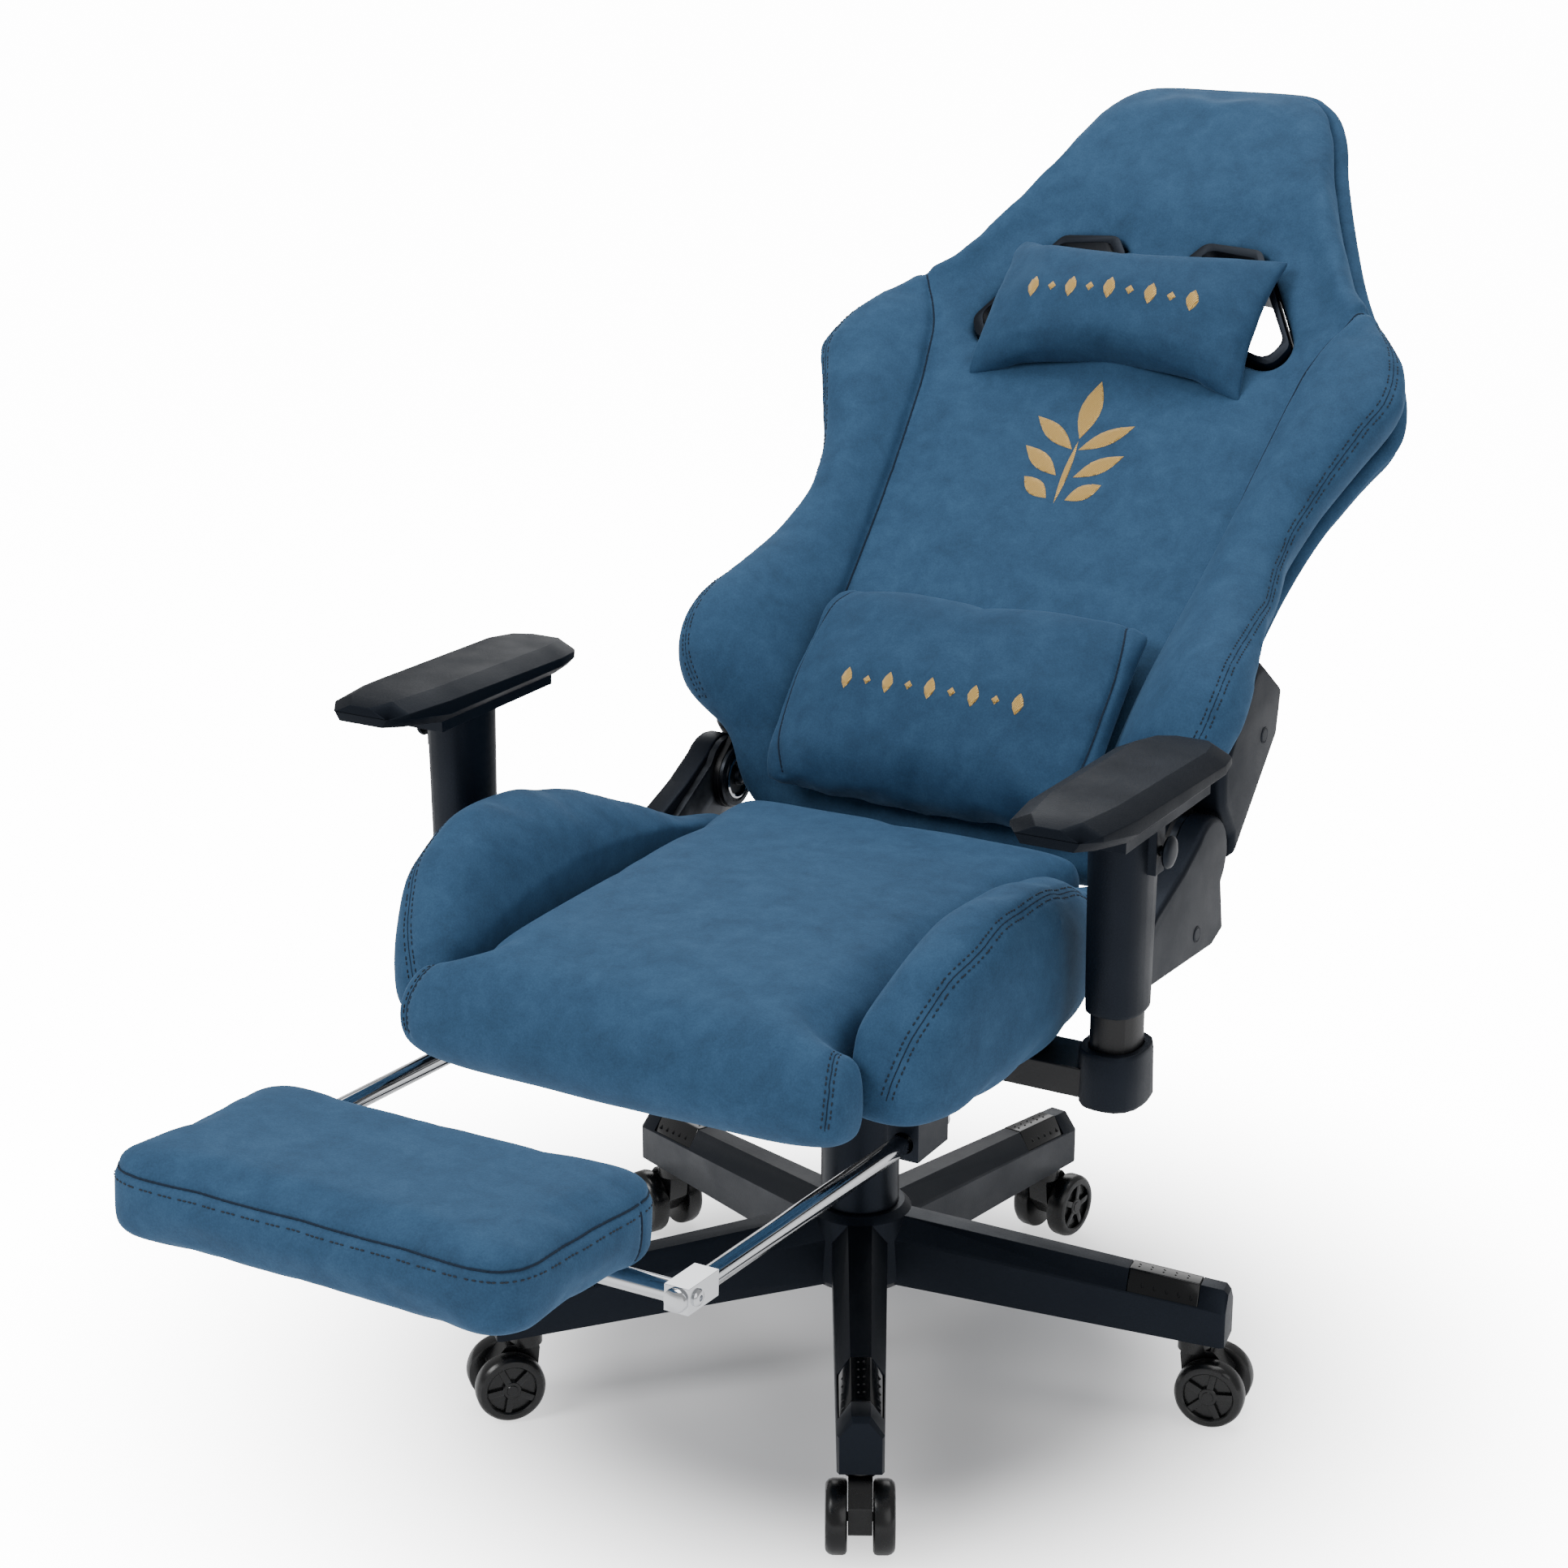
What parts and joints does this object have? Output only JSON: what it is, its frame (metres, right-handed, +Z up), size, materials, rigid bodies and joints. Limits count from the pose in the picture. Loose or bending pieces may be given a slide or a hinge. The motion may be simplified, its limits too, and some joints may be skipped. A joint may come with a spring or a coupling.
{
  "type": "gaming chair",
  "caption": "Reclining gaming chair with winged seat and back, loose head and lumbar pillows, height-adjustable armrests, pull-out footrest and star base on twin-wheel casters.",
  "frame": {"origin": "on the floor, under the swivel column", "axes": "+Z up; the chair faces -Y; +X is the sitter's left"},
  "size_m": [0.6925, 1.5583, 1.0439],
  "materials": {
    "upholstery": "brushed velvet",
    "moulded_black": "fine textured",
    "gloss_black": "polished",
    "wheel_black": "satin nylon",
    "coated_steel": "black powder coat",
    "zinc_steel": "dark zinc",
    "piston_steel": "ground and chromed",
    "footrest_chrome": "polished chrome"
  },
  "bodies": {
    "base": {"star_base": "moulded_black", "foot_cap_1": "gloss_black", "foot_cap_2": "gloss_black", "foot_cap_3": "gloss_black", "foot_cap_4": "gloss_black", "foot_cap_5": "gloss_black", "gas_cylinder": "coated_steel", "column_cover_lower": "moulded_black"},
    "caster_1": {"caster_fork_1": "wheel_black"},
    "wheels_1": {"caster_wheel_left_1": "wheel_black", "caster_wheel_right_1": "wheel_black"},
    "caster_2": {"caster_fork_2": "wheel_black"},
    "wheels_2": {"caster_wheel_left_2": "wheel_black", "caster_wheel_right_2": "wheel_black"},
    "caster_3": {"caster_fork_3": "wheel_black"},
    "wheels_3": {"caster_wheel_left_3": "wheel_black", "caster_wheel_right_3": "wheel_black"},
    "caster_4": {"caster_fork_4": "wheel_black"},
    "wheels_4": {"caster_wheel_left_4": "wheel_black", "caster_wheel_right_4": "wheel_black"},
    "caster_5": {"caster_fork_5": "wheel_black"},
    "wheels_5": {"caster_wheel_left_5": "wheel_black", "caster_wheel_right_5": "wheel_black"},
    "lift": {"gas_piston": "piston_steel", "column_cover_upper": "moulded_black"},
    "mechanism": {"mechanism_housing": "coated_steel"},
    "lift_lever": {"lift_lever": "moulded_black"},
    "tension_knob": {"tension_knob": "moulded_black"},
    "seat": {"seat_frame": "coated_steel", "seat_cushion": "upholstery", "seat_bolster_left": "upholstery", "seat_bolster_right": "upholstery", "recliner_plate_left": "zinc_steel", "recliner_plate_right": "zinc_steel", "hinge_cover_left": "moulded_black", "hinge_cover_right": "moulded_black", "arm_bracket_left": "coated_steel", "arm_bracket_right": "coated_steel", "arm_collar_left": "moulded_black", "arm_collar_right": "moulded_black", "footrest_guides": "moulded_black"},
    "back": {"back_cushion": "upholstery", "back_panel": "upholstery", "back_frame": "coated_steel", "harness_trim_left": "moulded_black", "harness_trim_right": "moulded_black", "head_pillow": "upholstery", "back_cover_left": "moulded_black", "back_cover_right": "moulded_black"},
    "lumbar_pillow": {"lumbar_pillow": "upholstery"},
    "recline_lever": {"recline_lever": "moulded_black"},
    "arm_left": {"arm_sleeve_left": "moulded_black", "arm_pad_left": "moulded_black"},
    "button_left": {"arm_button_left": "moulded_black"},
    "arm_right": {"arm_sleeve_right": "moulded_black", "arm_pad_right": "moulded_black"},
    "button_right": {"arm_button_right": "moulded_black"},
    "footrest": {"footrest_frame": "footrest_chrome"},
    "footrest_pad": {"footrest_bracket": "zinc_steel", "footrest_pad": "upholstery"}
  },
  "joints": [
    {"name": "caster_swivel_1", "type": "hinge", "parent": "base", "child": "caster_1", "pos_m": [0.14269, -0.26389, 0.07], "axis": [0, 0, 1], "continuous": true},
    {"name": "caster_swivel_2", "type": "hinge", "parent": "base", "child": "caster_2", "pos_m": [0.29507, 0.05416, 0.07], "axis": [0, 0, 1], "continuous": true},
    {"name": "caster_swivel_3", "type": "hinge", "parent": "base", "child": "caster_3", "pos_m": [0.03968, 0.29736, 0.07], "axis": [0, 0, 1], "continuous": true},
    {"name": "caster_swivel_4", "type": "hinge", "parent": "base", "child": "caster_4", "pos_m": [-0.27055, 0.12963, 0.07], "axis": [0, 0, 1], "continuous": true},
    {"name": "caster_swivel_5", "type": "hinge", "parent": "base", "child": "caster_5", "pos_m": [-0.20689, -0.21725, 0.07], "axis": [0, 0, 1], "continuous": true},
    {"name": "wheel_spin_1", "type": "hinge", "parent": "caster_1", "child": "wheels_1", "pos_m": [0.15125, -0.27973, 0.03], "axis": [0.8796, 0.4756, 0], "continuous": true},
    {"name": "wheel_spin_2", "type": "hinge", "parent": "caster_2", "child": "wheels_2", "pos_m": [0.31278, 0.0574, 0.03], "axis": [-0.1805, 0.9836, 0], "continuous": true},
    {"name": "wheel_spin_3", "type": "hinge", "parent": "caster_3", "child": "wheels_3", "pos_m": [0.04206, 0.31521, 0.03], "axis": [-0.9912, 0.1323, 0], "continuous": true},
    {"name": "wheel_spin_4", "type": "hinge", "parent": "caster_4", "child": "wheels_4", "pos_m": [-0.28678, 0.1374, 0.03], "axis": [-0.4321, -0.9018, 0], "continuous": true},
    {"name": "wheel_spin_5", "type": "hinge", "parent": "caster_5", "child": "wheels_5", "pos_m": [-0.2193, -0.23029, 0.03], "axis": [0.7242, -0.6896, 0], "continuous": true},
    {"name": "lift_slide", "type": "slide", "parent": "base", "child": "lift", "axis": [0, 0, 1], "range_m": [0, 0.07]},
    {"name": "seat_swivel", "type": "hinge", "parent": "lift", "child": "mechanism", "pos_m": [0, 0, 0.35], "axis": [0, 0, 1], "continuous": true},
    {"name": "lift_lever_turn", "type": "hinge", "parent": "mechanism", "child": "lift_lever", "pos_m": [-0.0695, 0.062, 0.352], "axis": [0, 1, 0], "range_deg": [0, 7], "stiffness_Nm_per_rad": 2, "springref_deg": -11.46},
    {"name": "tension_knob_turn", "type": "hinge", "parent": "mechanism", "child": "tension_knob", "pos_m": [0, -0.105, 0.32], "axis": [0, 0, 1], "continuous": true},
    {"name": "seat_tilt", "type": "hinge", "parent": "mechanism", "child": "seat", "pos_m": [0, -0.05, 0.372], "axis": [1, 0, 0], "range_deg": [-12, 0], "stiffness_Nm_per_rad": 60, "springref_deg": 20.05},
    {"name": "back_recline", "type": "hinge", "parent": "seat", "child": "back", "pos_m": [0, 0.156, 0.462], "axis": [1, 0, 0], "range_deg": [-20, 42]},
    {"name": "lumbar_pillow_slide", "type": "slide", "parent": "back", "child": "lumbar_pillow", "axis": [0, 0.7071, 0.7071], "range_m": [-0.027, 0.056]},
    {"name": "recline_lever_turn", "type": "hinge", "parent": "seat", "child": "recline_lever", "pos_m": [-0.2521, 0.104, 0.418], "axis": [-1, 0, 0], "range_deg": [0, 25], "stiffness_Nm_per_rad": 2, "springref_deg": -17.19},
    {"name": "arm_height_left", "type": "slide", "parent": "seat", "child": "arm_left", "axis": [0, 0, 1], "range_m": [-0.025, 0.045]},
    {"name": "arm_height_right", "type": "slide", "parent": "seat", "child": "arm_right", "axis": [0, 0, 1], "range_m": [-0.025, 0.045]},
    {"name": "arm_button_press_left", "type": "slide", "parent": "arm_left", "child": "button_left", "axis": [-1, 0, 0], "range_m": [0, 0.003], "stiffness_N_per_m": 400, "springref_m": -0.002},
    {"name": "arm_button_press_right", "type": "slide", "parent": "arm_right", "child": "button_right", "axis": [1, 0, 0], "range_m": [0, 0.003], "stiffness_N_per_m": 400, "springref_m": -0.002},
    {"name": "footrest_slide", "type": "slide", "parent": "seat", "child": "footrest", "axis": [0, 0.9986, -0.0523], "range_m": [0, 0.26]},
    {"name": "footrest_flip", "type": "hinge", "parent": "footrest", "child": "footrest_pad", "pos_m": [0, -0.612, 0.386], "axis": [1, 0, 0], "range_deg": [0, 180]}
  ],
  "couplings": [
    {"joint": "lumbar_pillow_slide", "follows": "back_recline", "m_per_rad": 0.075},
    {"joint": "footrest_flip", "follows": "footrest_slide", "rad_per_m": 12.083}
  ]
}
